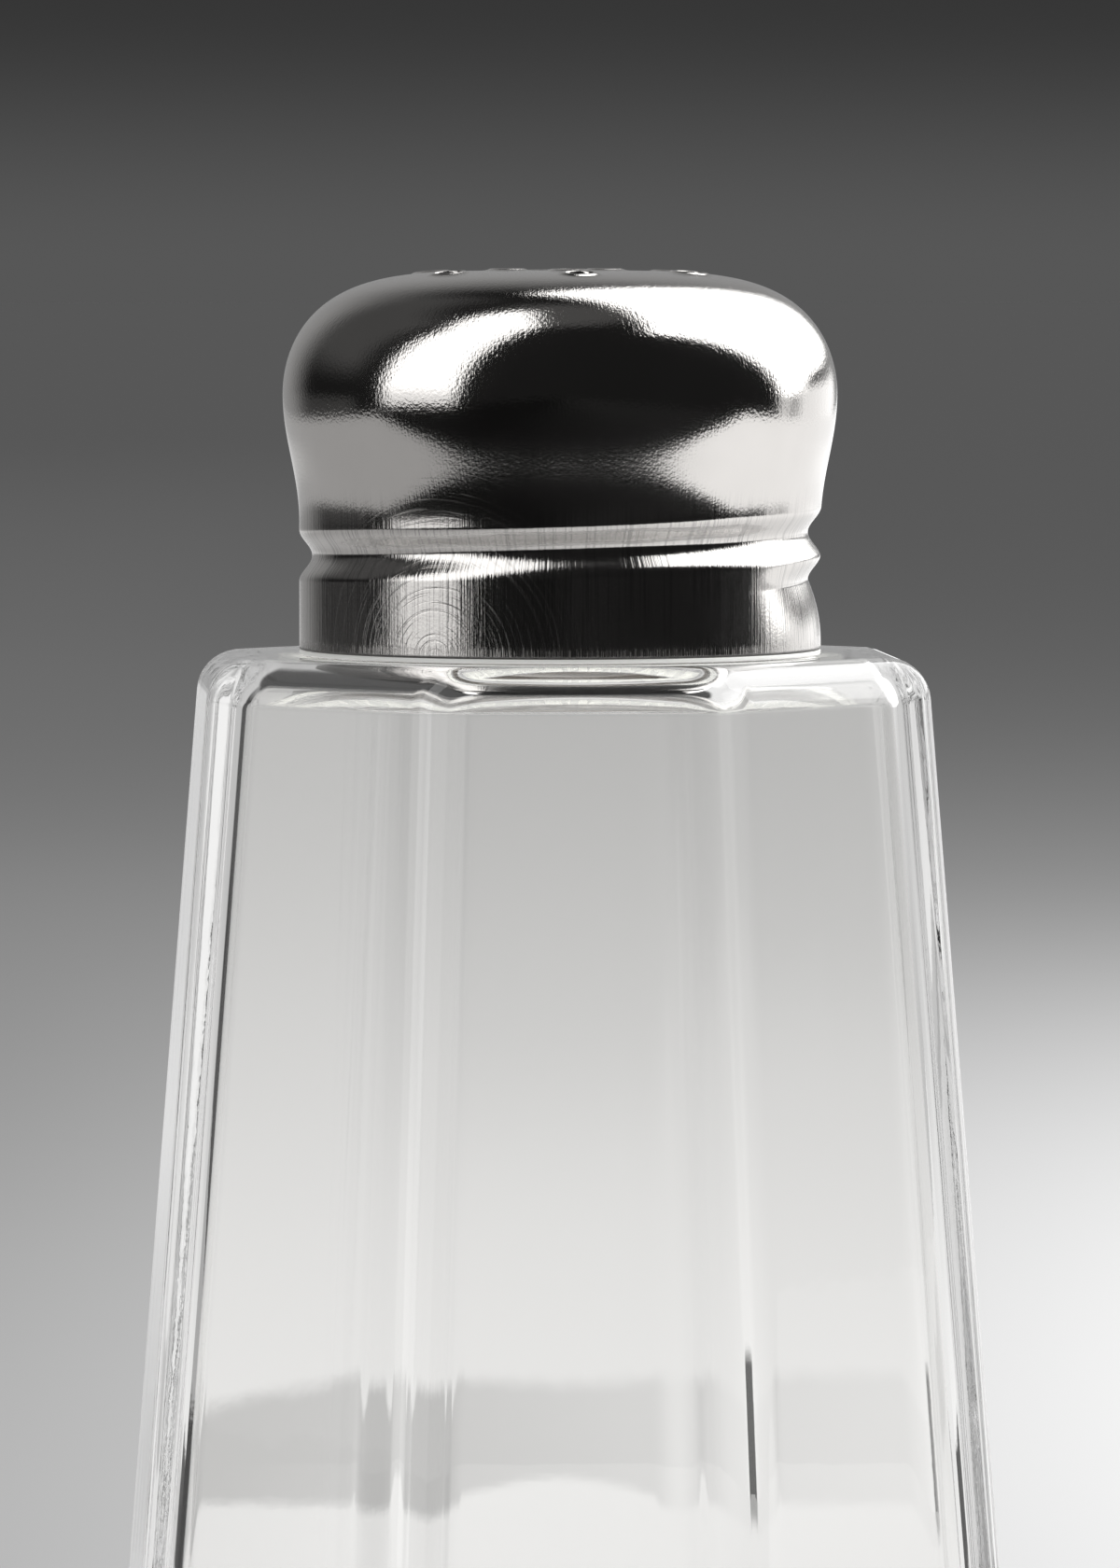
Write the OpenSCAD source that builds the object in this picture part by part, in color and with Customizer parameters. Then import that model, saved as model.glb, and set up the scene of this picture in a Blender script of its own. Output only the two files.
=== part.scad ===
// Salt shaker: an eight-panelled glass jar, a seal ring and a steel screw lid.
// Millimetres, +Z up. The origin is the middle of the jar's foot, on the table.

/* [Jar] */
// Width of the foot across two opposite panels
foot_flats = 53.6; // [46:0.2:62]
// Width of the shoulder across two opposite panels
shoulder_flats = 41.2; // [40:0.2:46]
// Height of the shoulder above the table
shoulder_height = 79.7; // [60:0.1:110]
// Radius of the rounded shoulder
shoulder_round = 2.5; // [1:0.1:3]
// Radius of the rounded heel
heel_round = 2.5; // [1:0.1:4]
// How far the upright edges between panels are rounded off
edge_trim = 0.2; // [0.1:0.05:0.4]
// Thickness of the panels, measured level
wall = 2.6; // [2.2:0.1:3.6]
// Thickness of the base above the table
base_thickness = 7; // [4:0.5:12]
// Thickness of the glass in the shoulder
shoulder_thickness = 1.7; // [1.4:0.1:3.5]
// Radius round the edges of the hollow
hollow_round = 1.3; // [0.8:0.1:3.5]
// How far the upright edges of the hollow are rounded off
hollow_trim = 0.6; // [0.3:0.05:0.9]
// Depth of the dished underside
dish_depth = 1; // [0.4:0.1:2]
// Width of the flat ring that the jar stands on
foot_ring = 3.5; // [2:0.1:6]

/* [Neck] */
// Radius of the mouth
mouth_radius = 11; // [9:0.1:11.4]
// Radius of the neck between its threads
neck_radius = 13.6; // [13.2:0.1:14]
// Height of the neck above the shoulder
neck_height = 10.5; // [10:0.1:12]
// Radius of the lip's rounded outer edge
lip_round = 1; // [0.5:0.1:1.2]
// Width of the bevel inside the lip
lip_bevel = 1; // [0.4:0.1:1.2]

/* [Thread] */
// Rise in one turn
pitch = 2.75; // [2.6:0.05:3]
// Height of the glass thread above the neck
thread_height = 0.75; // [0.6:0.05:0.85]
// Width of the glass thread at its crest
thread_crest = 0.7; // [0.5:0.1:0.8]
// Width of the glass thread at the neck
thread_foot = 1.8; // [1.4:0.1:2]
// Turns of thread on the neck
thread_turns = 1.35; // [1:0.05:1.4]
// Angle over which each end of the glass thread runs out
thread_runout = 30; // [15:5:60]
// Depth of the groove rolled into the lid
groove_depth = 0.75; // [0.6:0.05:0.85]
// Width of the groove rolled into the lid
groove_width = 3; // [2.2:0.1:3.2]
// Turns of groove in the lid
groove_turns = 1.35; // [1:0.05:1.6]
// Angle over which each end of the groove runs out
groove_runout = 60; // [30:5:90]
// Height of the groove's lower end above the lid's edge
groove_start = 3.7; // [2.6:0.1:3.9]
// Direction of the groove's lower end, from +X
groove_direction = -50; // [-180:5:180]
// Radial room between the lid and the neck at both threads
thread_room = 0.3; // [0.2:0.05:0.4]

/* [Lid] */
// Thickness of the sheet
sheet = 0.45; // [0.35:0.05:0.6]
// Height of the whole lid
lid_height = 21.9; // [19:0.1:26]
// Height of the straight skirt above the lid's edge
skirt_height = 7.4; // [7:0.1:9]
// Height of the widest part above the lid's edge
widest_height = 14.8; // [13:0.1:16]
// How far the widest part stands out past the skirt
crown_overhang = 0.95; // [0.4:0.05:2]
// How square the crown's edge is, where 2 is an ellipse
crown_squareness = 4.6; // [3:0.1:6]

/* [Holes] */
// Radius of a sprinkle hole
hole_radius = 0.8; // [0.5:0.05:1.1]
// Height of the lip punched up round a hole
hole_lip_height = 0.12; // [0.08:0.01:0.25]
// Width of the lip round a hole
hole_lip_width = 0.3; // [0.2:0.05:0.5]
// Radius of the outer ring of holes
outer_ring = 8.1; // [7:0.1:9]
// Holes in the outer ring
outer_count = 6; // [4:1:8]
// Radius of the inner ring of holes
inner_ring = 3.3; // [2.8:0.1:4]
// Holes in the inner ring
inner_count = 3; // [2:1:4]
// Direction of the first hole of both rings, from +X
hole_direction = -86; // [-180:1:180]

/* [Seal] */
// Thickness of the seal ring
seal_thickness = 0.25; // [0.2:0.05:0.8]
// Radial room between the seal ring and the neck
seal_room = 0.08; // [0.04:0.01:0.1]

/* [Hidden] */

$fn = 96;
panels = 8;
panel_turn = 360 / panels;
arc_steps = 7;
turn_steps = 60;
skirt_rings = 20;
crown_steps = 16;

// How far a cutting shape runs past the face that it cuts
overcut = 1;
// How deep the foot of the glass thread is sunk into the neck, and its tapered ends
thread_bite = 0.6;
thread_end_bite = 0.1;
// The skirt's top is a thin tongue that sits inside the crown's lower edge
tongue_height = 0.4;
tongue_inset = 0.06;
// Plain sheet between the top of the groove and that tongue
join_land = 0.5;

// Heights of the faces that the pieces share
rim_z = shoulder_height + seal_thickness;
neck_z = shoulder_height + neck_height;
hollow_z = shoulder_height - shoulder_thickness;

// Radii of the lid follow from the neck and its thread
thread_radius = neck_radius + thread_height;
skirt_inner = max(thread_radius, neck_radius + groove_depth) + thread_room;
skirt_radius = skirt_inner + sheet;
crown_radius = skirt_radius + crown_overhang;
crown_rise = lid_height - widest_height;
join_height = groove_start + pitch * groove_turns + groove_width / 2 + join_land;

// The glass thread lies half a pitch above the lid's groove, up to the lip
thread_top = neck_z - lip_round - thread_foot / 2;
thread_end = groove_direction + 360 * (thread_top - rim_z - groove_start - pitch / 2) / pitch;
thread_sections = ceil(thread_turns * turn_steps);
thread_flank = (thread_foot - thread_crest) / 2 / thread_height;

// The lid lets go when the lower end of its groove passes the upper end of the glass thread
release_turn = thread_end - groove_direction;
echo(release_turn = release_turn, release_rise = pitch * release_turn / 360, rim_z = rim_z);

// Half width across the flats at a height, on the slope of the panels
panel_slope = (foot_flats - shoulder_flats) / 2 / shoulder_height;
function half_flats(z) = foot_flats / 2 - panel_slope * z;

// Distance from the axis to a corner between flats at this half width
function corner_radius(half_width) = half_width / cos(panel_turn / 2);

// Points of an arc of radius r that rounds corner b between its neighbours a and c
function corner_arc(a, b, c, r) =
    let (to_a = (a - b) / norm(a - b))
    let (to_c = (c - b) / norm(c - b))
    let (half_angle = acos(to_a * to_c) / 2)
    let (middle = b + (to_a + to_c) / norm(to_a + to_c) * r / sin(half_angle))
    let (from = b + to_a * r / tan(half_angle) - middle)
    let (to = b + to_c * r / tan(half_angle) - middle)
    let (start = atan2(from.y, from.x))
    let (sweep = (atan2(to.y, to.x) - start + 540) % 360 - 180)
    [for (i = [0:arc_steps])
        let (angle = start + sweep * i / arc_steps)
        middle + r * [cos(angle), sin(angle)]];

// Outline through corners given as [x, y, radius]; a radius of 0 leaves a corner sharp
function rounded_outline(corners) =
    let (count = len(corners))
    let (points = [for (corner = corners) [corner.x, corner.y]])
    [for (i = [0:count - 1])
        let (before = points[(i + count - 1) % count])
        let (after = points[(i + 1) % count])
        each corners[i].z > 0 ? corner_arc(before, points[i], after, corners[i].z) : [points[i]]];

// Triangles of a tube whose points lie ring on ring, with count points in each ring
function tube_faces(rings, count, first, inward) =
    [for (i = [0:rings - 2], j = [0:count - 1])
        let (a = first + i * count + j)
        let (b = first + i * count + (j + 1) % count)
        each inward
            ? [[a, b, b + count], [a, b + count, a + count]]
            : [[a, b + count, b], [a, a + count, b + count]]];

// Triangles of a flat band between an outer and an inner ring of points
function band_faces(outer, inner, count, downward) =
    [for (j = [0:count - 1])
        let (next = (j + 1) % count)
        each downward
            ? [[outer + j, outer + next, inner + next], [outer + j, inner + next, inner + j]]
            : [[outer + j, inner + next, outer + next], [outer + j, inner + j, inner + next]]];

// The space between all pairs of opposite panels
module panel_planes(low, high, low_z, high_z, low_round, high_round) {
    intersection_for (i = [0:panels / 2 - 1])
        rotate(i * panel_turn)
            rotate([90, 0, 0])
                linear_extrude(height = 2 * (corner_radius(max(low, high)) + overcut), center = true)
                    polygon(rounded_outline([
                        [-low, low_z, low_round],
                        [low, low_z, low_round],
                        [high, high_z, high_round],
                        [-high, high_z, high_round]]));
}

// Eight-sided body whose upright edges are turned down by trim
module panelled_body(low_z, high_z, inset, low_round, high_round, trim) {
    low = half_flats(low_z) - inset;
    high = half_flats(high_z) - inset;
    intersection() {
        panel_planes(low, high, low_z, high_z, low_round, high_round);
        rotate_extrude()
            polygon(rounded_outline([
                [0, low_z, 0],
                [corner_radius(low) - trim, low_z, low_round],
                [corner_radius(high) - trim, high_z, high_round],
                [0, high_z, 0]]));
    }
}

// Solid neck, rooted in the glass of the shoulder
module neck() {
    rotate_extrude()
        polygon(rounded_outline([
            [0, hollow_z, 0],
            [neck_radius, hollow_z, 0],
            [neck_radius, neck_z, lip_round],
            [0, neck_z, 0]]));
}

// Way from the hollow up through the neck, bevelled at the lip
module mouth() {
    rotate_extrude()
        polygon([
            [0, hollow_z - hollow_round],
            [mouth_radius, hollow_z - hollow_round],
            [mouth_radius, neck_z - lip_bevel],
            [mouth_radius + lip_bevel + overcut, neck_z + overcut],
            [0, neck_z + overcut]]);
}

// Shallow hollow under the base, inside the ring that the jar stands on
module dish() {
    dish_radius = foot_flats / 2 - heel_round - foot_ring;
    last = arc_steps + 1;
    curve = [for (i = [0:last]) [dish_radius * i / arc_steps, dish_depth * (1 - pow(i / arc_steps, 2))]];
    rotate_extrude()
        polygon(concat(curve, [[0, curve[last].y]]));
}

// Half the width of the glass thread at a height above the neck
function half_thread(height) = thread_crest / 2 + (thread_height - height) * thread_flank;

// One cross-section of the glass thread, as four points
function thread_section(i) =
    let (along = 360 * thread_turns * i / thread_sections)
    let (full = min(1, along / thread_runout, (360 * thread_turns - along) / thread_runout))
    let (height = (thread_height + thread_end_bite) * full - thread_end_bite)
    let (angle = thread_end - 360 * thread_turns + along)
    let (middle = thread_top - pitch * (thread_end - angle) / 360)
    [for (corner = [[-thread_bite, -1], [height, -1], [height, 1], [-thread_bite, 1]])
        let (radius = neck_radius + corner.x)
        [radius * cos(angle), radius * sin(angle), middle + corner.y * half_thread(corner.x)]];

// Right-handed thread round the neck
module glass_thread() {
    sections = [for (i = [0:thread_sections]) thread_section(i)];
    corners = len(sections[0]);
    last = thread_sections * corners;
    polyhedron(
        points = [for (section = sections) each section],
        faces = concat(
            tube_faces(len(sections), corners, 0, true),
            [[0, 2, 1], [0, 3, 2], [last, last + 1, last + 2], [last, last + 2, last + 3]]));
}

module glass_jar() {
    color([0.86, 0.9, 0.9, 0.4])
        difference() {
            union() {
                panelled_body(0, shoulder_height, 0, heel_round, shoulder_round, edge_trim);
                neck();
                glass_thread();
            }
            panelled_body(base_thickness, hollow_z, wall, hollow_round, hollow_round, hollow_trim);
            mouth();
            dish();
        }
}

module seal_ring() {
    color([0.93, 0.93, 0.91])
        translate([0, 0, shoulder_height])
            difference() {
                cylinder(h = seal_thickness, r = skirt_radius);
                translate([0, 0, -overcut])
                    cylinder(h = seal_thickness + 2 * overcut, r = neck_radius + seal_room);
            }
}

// Outer radius of the lid below its widest part, before the groove is rolled
function side_radius(z) =
    let (way = max(0, (z - skirt_height) / (widest_height - skirt_height)))
    skirt_radius + crown_overhang * (1 - cos(180 * way)) / 2;

// Height of the crown at a distance from the axis
function crown_z(r) = widest_height + crown_rise * sqrt(1 - pow(r / crown_radius, crown_squareness));

// Depth of the groove in one direction and at one height, on one of its turns
function groove_on_turn(angle, z, turn) =
    let (along = (angle - groove_direction + 720) % 360 + 360 * turn)
    let (whole = 360 * groove_turns)
    let (full = max(0, min(1, along / groove_runout, (whole - along) / groove_runout)))
    let (off = z - groove_start - pitch * along / 360)
    abs(off) < groove_width / 2 ? groove_depth * full * (1 + cos(360 * off / groove_width)) / 2 : 0;

// Depth of the groove over all of its turns
function groove(angle, z) = max([for (turn = [0:ceil(groove_turns) - 1]) groove_on_turn(angle, z, turn)]);

// Side of the lid from its cut edge to above the groove, as one corrugated sheet
module threaded_skirt() {
    rings = [
        for (i = [0:skirt_rings])
            [join_height * i / skirt_rings, i < skirt_rings ? 0 : tongue_inset],
        [join_height + tongue_height, tongue_inset]];
    count = len(rings);
    inner = count * turn_steps;
    top = inner - turn_steps;
    polyhedron(
        points = [
            for (depth = [0, sheet], ring = rings, j = [0:turn_steps - 1])
                let (angle = 360 * j / turn_steps)
                let (inset = depth == 0 ? ring[1] : -ring[1])
                let (radius = side_radius(ring[0]) - groove(angle, ring[0]) - depth - inset)
                [radius * cos(angle), radius * sin(angle), ring[0]]],
        faces = concat(
            tube_faces(count, turn_steps, 0, false),
            tube_faces(count, turn_steps, inner, true),
            band_faces(0, inner, turn_steps, true),
            band_faces(top, inner + top, turn_steps, false)));
}

// Outline of the crown's outer or inner face, from the join up to the axis
function crown_outline(depth) = [
    for (i = [0:arc_steps])
        let (z = join_height + (widest_height - join_height) * i / arc_steps)
        [side_radius(z) - depth, z],
    for (i = [1:crown_steps])
        let (angle = 90 * (1 - pow(i / crown_steps, 2)))
        let (way = i < crown_steps ? pow(sin(angle), 2 / crown_squareness) : 0)
        [(crown_radius - depth) * way, widest_height + (crown_rise - depth) * cos(angle)]];

// Crown of the lid, a shell turned about the axis
module crown() {
    outer = crown_outline(0);
    inner = crown_outline(sheet);
    rotate_extrude()
        polygon(concat(outer, [for (i = [len(inner) - 1:-1:0]) inner[i]]));
}

// Places its children at every sprinkle hole, at the height of the crown there
module at_holes() {
    for (ring = [[outer_ring, outer_count], [inner_ring, inner_count]])
        for (i = [0:ring[1] - 1])
            rotate(hole_direction + 360 * i / ring[1])
                translate([ring[0], 0, crown_z(ring[0])])
                    children();
}

module screw_lid() {
    color([0.75, 0.75, 0.76])
        translate([0, 0, rim_z])
            difference() {
                union() {
                    crown();
                    threaded_skirt();
                    at_holes()
                        translate([0, 0, -sheet])
                            cylinder(h = sheet + hole_lip_height, r = hole_radius + hole_lip_width);
                }
                at_holes()
                    translate([0, 0, -sheet - overcut])
                        cylinder(h = sheet + 2 * overcut, r = hole_radius);
            }
}

glass_jar();
seal_ring();
screw_lid();
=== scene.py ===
# %% [markdown]
# # A salt shaker of panelled glass and polished steel
#
# The shaker is three pieces: a heavy glass jar with eight sloping panels, a thin pale seal ring
# that lies on the jar's shoulder, and a lid pressed from one sheet of steel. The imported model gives
# their places and how they move. This lesson gives them their looks. Each piece is made again as
# a finer mesh in the same place, and that mesh rides on the body of the solid that it stands for.

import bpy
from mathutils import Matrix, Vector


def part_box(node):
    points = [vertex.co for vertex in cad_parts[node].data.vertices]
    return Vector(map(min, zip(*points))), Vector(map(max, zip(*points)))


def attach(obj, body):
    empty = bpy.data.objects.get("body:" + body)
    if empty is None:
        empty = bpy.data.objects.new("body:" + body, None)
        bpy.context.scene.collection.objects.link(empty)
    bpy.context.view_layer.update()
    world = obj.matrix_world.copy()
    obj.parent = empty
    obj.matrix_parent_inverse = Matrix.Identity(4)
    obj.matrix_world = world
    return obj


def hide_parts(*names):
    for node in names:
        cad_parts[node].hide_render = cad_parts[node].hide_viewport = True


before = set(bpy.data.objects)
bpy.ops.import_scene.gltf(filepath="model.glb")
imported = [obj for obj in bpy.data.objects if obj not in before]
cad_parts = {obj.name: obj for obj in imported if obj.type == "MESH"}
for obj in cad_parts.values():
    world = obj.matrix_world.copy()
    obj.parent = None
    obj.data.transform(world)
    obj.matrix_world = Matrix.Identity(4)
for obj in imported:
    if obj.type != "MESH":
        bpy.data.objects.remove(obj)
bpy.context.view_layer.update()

# %% What the lesson uses
import math

import bpy
import numpy as np
from mathutils import Vector
from mathutils.geometry import delaunay_2d_cdt

MM = 0.001
scene = bpy.context.scene
scene.cycles.use_denoising = True
scene.cycles.max_bounces = scene.cycles.glossy_bounces = scene.cycles.transmission_bounces = 24
scene.view_settings.view_transform = "Standard"
print("light bounces", scene.cycles.max_bounces)

# %% [markdown]
# ## Shader sums that read as sums
#
# A finish is a tree of nodes. Typing every node and link by hand hides what the tree works out, so
# one small class wraps a socket and lets Python's own signs add the Math nodes. A second class
# holds a tree, and its one method makes any other node: settings first, then sockets.

# %% A socket that can be added, taken away and multiplied
class Value:
    """One output of a node. Sums on it add Math nodes to its tree."""

    def __init__(self, finish, socket):
        self.finish, self.socket = finish, socket

    def math(self, operation, *numbers):
        return self.finish.node("ShaderNodeMath", {"operation": operation}, dict(enumerate(numbers)))

    def __add__(self, other):
        return self.math("ADD", self, other)

    def __sub__(self, other):
        return self.math("SUBTRACT", self, other)

    def __rsub__(self, other):
        return self.math("SUBTRACT", other, self)

    def __mul__(self, other):
        return self.math("MULTIPLY", self, other)

    __radd__ = __add__
    __rmul__ = __mul__

    def step(self, low, high):
        """0 below low and 1 above high, with a soft rise between."""
        sockets = {"Value": self, "From Min": low, "From Max": high}
        return self.finish.node("ShaderNodeMapRange", {"interpolation_type": "SMOOTHSTEP"}, sockets)

# %% A tree of nodes
class Finish:
    """The nodes of one finish, or of the studio round the object."""

    def __init__(self, tree):
        tree.nodes.clear()
        self.tree = tree

    def node(self, kind, settings=None, sockets=None, out=0):
        made = self.tree.nodes.new(kind)
        for name, setting in (settings or {}).items():
            setattr(made, name, setting)
        for name, value in (sockets or {}).items():
            if isinstance(value, Value):
                self.tree.links.new(value.socket, made.inputs[name])
            else:
                made.inputs[name].default_value = value
        return Value(self, made.outputs[out]) if made.outputs else made

    def mix(self, share, first, second):
        """A colour between two colours."""
        settings = {"data_type": "RGBA", "clamp_factor": True}
        return self.node("ShaderNodeMix", settings, {0: share, 6: first, 7: second}, out=2)

    def dot(self, vector, direction):
        """How far a vector reaches along a fixed direction."""
        settings = {"operation": "DOT_PRODUCT"}
        return self.node("ShaderNodeVectorMath", settings, {0: vector, 1: direction}, out="Value")

    def noise(self, vector, scale, detail=2.0):
        """Soft random values round a half."""
        sockets = {"Vector": vector, "Scale": scale, "Detail": detail}
        return self.node("ShaderNodeTexNoise", sockets=sockets)

# %% A new material, and a plain grey
def new_material(name):
    material = bpy.data.materials.new(name)
    material.use_nodes = True
    return material, Finish(material.node_tree)


def grey(level):
    return (level, level, level, 1.0)

# %% [markdown]
# ## The camera
#
# The photograph looks a few degrees down on the lid, from a little to the left of the front panel,
# and its frame ends above the jar's foot. A long lens from about 60 cm keeps the panels' edges
# close to parallel, as they are in the photograph. The picture is 1200 by 1680 pixels, and the
# lid's assumed width gives the scale of 18.47 pixels to the millimetre.

# %% Where the camera stands
view_direction = math.radians(-94)
camera_distance = 600 * MM
camera_height = 105 * MM
aim_height = 72.1 * MM
picture_height = 1680 / 18.47 * MM

towards_camera = Vector((math.cos(view_direction), math.sin(view_direction), 0))
to_the_right = Vector((-towards_camera.y, towards_camera.x, 0))

camera_data = bpy.data.cameras.new("camera")
camera = bpy.data.objects.new("camera", camera_data)
scene.collection.objects.link(camera)
camera.location = towards_camera * camera_distance + Vector((0, 0, camera_height))
line_of_sight = Vector((0, 0, aim_height)) - camera.location
camera.rotation_euler = line_of_sight.to_track_quat("-Z", "Y").to_euler()
camera_data.lens = camera_data.sensor_width * line_of_sight.length / picture_height
camera_data.clip_start = 10 * MM
scene.camera = camera
print("lens", round(camera_data.lens, 1), "mm")

# %% [markdown]
# ## The studio
#
# Polished steel shows nothing but its surroundings, so the studio is half of the lid's finish. A
# tall strip box stands to the left and a large tilted box to the right, the front is dark as behind
# a photographer, and what lies behind the object is a dim grey. Lamps would each need a place and
# would stand in the way of other views. Painting the boxes on the world by bearing and height
# avoids that. The bearing is counted from the camera's place, to the right.

# %% Bearing and height of a ray that leaves the object
world = bpy.data.worlds.new("studio")
world.use_nodes = True
scene.world = world
studio = Finish(world.node_tree)
ray = studio.node("ShaderNodeTexCoord", out="Generated")
forward = studio.dot(ray, tuple(towards_camera))
sideways = studio.dot(ray, tuple(to_the_right))
upward = studio.dot(ray, (0, 0, 1))
bearing = forward.math("ARCTAN2", sideways, forward)
height = forward.math("ARCSINE", upward)


def soft_box(left, right, low, high, edge):
    """1 inside an upright box on the studio's wall and 0 outside, in degrees."""
    left, right, low, high, edge = (math.radians(angle) for angle in (left, right, low, high, edge))
    across = bearing.step(left - edge, left + edge) * (1 - bearing.step(right - edge, right + edge))
    along = height.step(low - edge, low + edge) * (1 - height.step(high - edge, high + edge))
    return across * along


print("studio nodes for bearing and height", len(world.node_tree.nodes))

# %% The tall strip box at the left, duller at its foot
box_softness = 0.03


def within(edge):
    """1 on the box's side of a slanting edge and 0 beyond it."""
    return edge.step(-box_softness, box_softness)


strip_back = forward + sideways * 0.2 + upward * height.step(0.9, 1.3) * 0.16
strip_front = upward * 0.17 - forward - sideways * 1.04
strip_end = upward * -0.11 - sideways
strip_foot = height.step(-0.11, -0.05)
left_strip = within(strip_back) * within(strip_front) * within(strip_end) * strip_foot
strip_light = 1.05 + height.step(-0.02, 0.15) * 0.65
print("strip box, edges soft over", 2 * box_softness)

# %% The large tilted box at the right, and the lit panels under it
left_edge = sideways - forward * 0.6 - upward * 0.36
front_edge = upward * 0.47 - forward - sideways * 0.27
back_edge = sideways + forward * 0.4 + upward * 0.34
lower_edge = upward - bearing.step(math.radians(112), math.radians(135)) * 0.13
right_box = within(left_edge) * within(front_edge) * within(back_edge) * within(lower_edge)
under_box = soft_box(104, 111, -9, 3, 1) * 0.8 + soft_box(111, 119, -9, 3, 1) * 0.4
under_box = under_box + soft_box(119, 160, -9, 3, 2)
right_light, under_light = 2.2, 1.1
print("right box", right_light, "and the panels under it", under_light)

# %% What mirrors show of the studio
dark_room = 0.012
dim_back = 1 - forward.step(-0.97, -0.6)
dim_left = soft_box(-160, -95, 14, 60, 9) + soft_box(-150, -95, -9, -1, 2) * 0.65
overhead = upward.step(0.93, 0.985)
back_light = 0.3 - height.step(0.2, 0.9) * 0.1
mirrored_light = dark_room + dim_back * back_light + dim_left * 0.06 + overhead * 0.07
mirrored_light = mirrored_light + left_strip * strip_light
mirrored_light = mirrored_light + right_box * right_light + under_box * under_light
print("studio nodes with what mirrors show", len(world.node_tree.nodes))

# %% What glass shows of it, and the plain grey that the camera sees
dark_above = height.step(math.radians(27), math.radians(37)) * 0.94
dark_at_left = soft_box(-122, -92, -8, 30, 4) * 0.95
pale_sides = (1 - forward.step(-0.3, 0.5)) * (1 - dark_above) * (1 - dark_at_left)
bright_right = soft_box(86, 154, 4, 50, 4)
glass_light = 0.04 + pale_sides * 0.55 + left_strip * 0.6 + bright_right * 0.8
backdrop_light = 0.037 + (1 - upward.step(-0.005, 0.022)) * 0.058
seen = studio.node("ShaderNodeLightPath", out="Is Camera Ray")
through = studio.node("ShaderNodeLightPath", out="Is Transmission Ray")
shown = seen * backdrop_light + through * glass_light + (1 - seen - through) * mirrored_light
glow = studio.node("ShaderNodeBackground", sockets={"Color": shown, "Strength": 1.0})
studio.node("ShaderNodeOutputWorld", sockets={"Surface": glow})
world.cycles_visibility.diffuse = False
print("studio nodes", len(world.node_tree.nodes))

# %% [markdown]
# ## The lamps and the floor
#
# One broad lamp stands at the right, a little behind the object, and lights the pale floor, which
# falls off to grey by itself with distance. A painted shade darkens the paper to the left of the
# object, and far out at the left the paper is painted paler again. A faint second light keeps the
# far floor from going black. Neither lamp shows in the steel or in the glass. Rays from there find a
# painted brightness on the floor instead: pale beside the object, dark in front of it. Far out at
# the sides mirrored rays pass through the floor to the foot of the boxes.

# %% The lamps
def add_lamp(name, kind, strength, place, **settings):
    """A lamp that lights the floor and shows in nothing."""
    lamp = bpy.data.lights.new(name, kind)
    lamp.energy = strength
    for setting, value in settings.items():
        setattr(lamp, setting, value)
    made = bpy.data.objects.new(name, lamp)
    scene.collection.objects.link(made)
    made.location = place
    made.visible_camera = made.visible_glossy = made.visible_transmission = False


lamp_place = to_the_right * 0.55 - towards_camera * 0.25 + Vector((0, 0, 0.6))
lamp_strength, lamp_size, fill_strength = 8.8, 0.5, 0.4
add_lamp("broad_lamp", "AREA", lamp_strength, lamp_place, size=lamp_size)
add_lamp("fill", "SUN", fill_strength, (0, 0, 2), angle=math.radians(120))
print("lamp at", [round(part, 2) for part in lamp_place])

# %% A flat sheet with its corners given
def flat_sheet(name, corners, material):
    mesh = bpy.data.meshes.new(name)
    mesh.from_pydata([tuple(corner) for corner in corners], [], [tuple(range(len(corners)))])
    mesh.materials.append(material)
    sheet = bpy.data.objects.new(name, mesh)
    scene.collection.objects.link(sheet)
    return sheet

# %% The paper of the floor
paper, nodes = new_material("pale_paper")
place = nodes.node("ShaderNodeTexCoord", out="Object")
reach = nodes.node("ShaderNodeVectorMath", {"operation": "LENGTH"}, {0: place}, out="Value")
ahead = nodes.dot(place, tuple(towards_camera))
side = nodes.dot(place, tuple(to_the_right))
aside = side.math("ABSOLUTE", side)
leftward = 0 - side
# The paper's colour carries painted light and shade: a painted shade to the left near the object, and
# painted paler far out at the left.
near_side = side * (1 - reach.step(0.5, 1.1))
tone = nodes.mix(near_side.step(-0.12, 0.12), grey(0.5), grey(1.0))
far_left = reach.step(1.0, 1.9) * (1 - reach.step(2.2, 4.5)) * leftward.step(-0.1, 0.15)
tone = nodes.mix(far_left, tone, grey(0.92))
paper_surface = nodes.node("ShaderNodeBsdfPrincipled", sockets={
    "Base Color": tone, "Roughness": 1.0, "Specular IOR Level": 0.0})
print("floor nodes for the paper", len(paper.node_tree.nodes))

# %% What mirrors see of the floor
through = nodes.node("ShaderNodeLightPath", out="Is Transmission Ray")
mirrored = nodes.node("ShaderNodeLightPath", out="Is Glossy Ray") * (1 - through)
far_behind = (1 - ahead.step(-0.7, -0.25)) * (1 - aside.step(0.3, 0.45))
in_mirrors = 0.42 + side.step(-0.2, 0.3) * 0.75 + far_behind * 0.25
dark_front = (ahead + aside * 0.15).step(0.181, 0.206) * 0.985
in_mirrors = in_mirrors * (1 - dark_front)
print("floor nodes with what mirrors see", len(paper.node_tree.nodes))

# %% What glass sees of the floor, where the shade at the card's foot ends in an arch
def foot_shade(across):
    """How deep the shade is: deep at the left and faint at the right."""
    return 0.36 - across.step(-0.05, 0.05) * 0.32


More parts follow.
